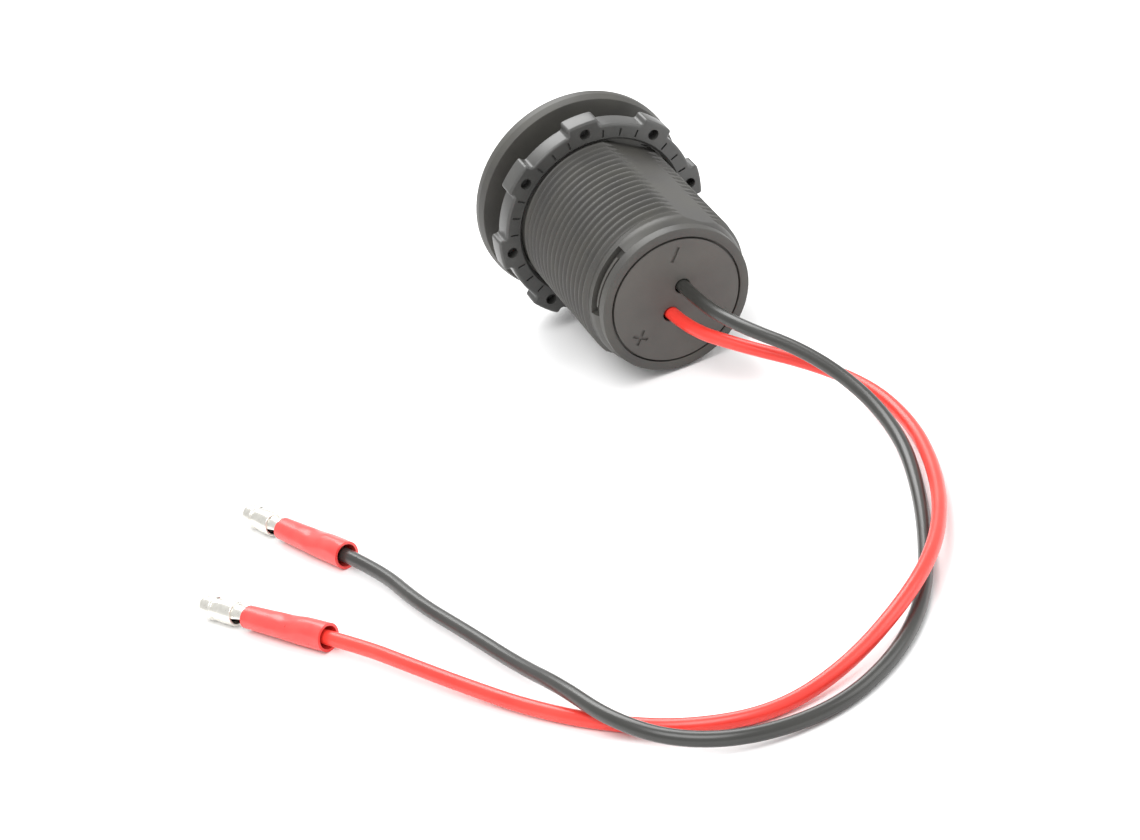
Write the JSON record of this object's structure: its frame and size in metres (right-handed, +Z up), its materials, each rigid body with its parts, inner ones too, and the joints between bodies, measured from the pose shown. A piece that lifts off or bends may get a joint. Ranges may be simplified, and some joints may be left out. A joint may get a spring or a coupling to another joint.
{
  "type": "dual usb panel socket",
  "caption": "Round panel-mount power socket: threaded barrel with flats, flanged bezel over stacked USB receptacles, lugged ring nut, and red and black leads ending in bullet terminals.",
  "frame": {"origin": "on the surface it lies on, under the middle of the socket's box without its leads", "axes": "+Y along the barrel towards the bezel (raised by the lie of the nut), +Z up from the surface"},
  "size_m": [0.1108, 0.1518, 0.0389],
  "materials": {
    "housing_plastic": "moulded, fine spark texture",
    "nut_plastic": "moulded, satin",
    "cap_plastic": "moulded, satin",
    "face_plastic": "moulded, fine texture",
    "board_laminate": "solder mask",
    "pin_metal": "tinned",
    "shell_steel": "nickel plated, drawn",
    "insulator_plastic": "moulded",
    "contact_metal": "gold flashed",
    "can_aluminium": "drawn can",
    "ferrite": "sintered",
    "chip_epoxy": "transfer moulded",
    "conductor_copper": "tinned strand",
    "solder": "wetted",
    "black_vinyl": "extruded",
    "red_vinyl": "extruded",
    "terminal_brass": "tinned, rolled",
    "black_sleeve": "dipped vinyl",
    "red_sleeve": "dipped vinyl"
  },
  "bodies": {
    "socket": {"housing": "housing_plastic", "rear_cap": "cap_plastic", "face_plate": "face_plastic", "port_board": "board_laminate", "main_board": "board_laminate", "board_pins": "pin_metal", "upper_port_shell": "shell_steel", "lower_port_shell": "shell_steel", "upper_port_insulator": "insulator_plastic", "lower_port_insulator": "insulator_plastic", "upper_port_contacts": "contact_metal", "lower_port_contacts": "contact_metal", "input_capacitor": "can_aluminium", "output_capacitor": "can_aluminium", "inductor": "ferrite", "regulator_chip": "chip_epoxy", "rectifier_diode": "chip_epoxy", "sense_chip": "chip_epoxy", "chip_resistors": "chip_epoxy", "lead_conductors": "conductor_copper", "solder_joints": "solder", "black_lead": "black_vinyl", "red_lead": "red_vinyl", "black_lead_terminal": "terminal_brass", "red_lead_terminal": "terminal_brass", "black_lead_sleeve": "black_sleeve", "red_lead_sleeve": "red_sleeve"},
    "nut": {"ring_nut": "nut_plastic"}
  },
  "joints": [
    {"name": "nut_travel", "type": "slide", "parent": "socket", "child": "nut", "axis": [0, 0.9852, 0.1715], "range_m": [-0.0256, 0.0046]}
  ]
}
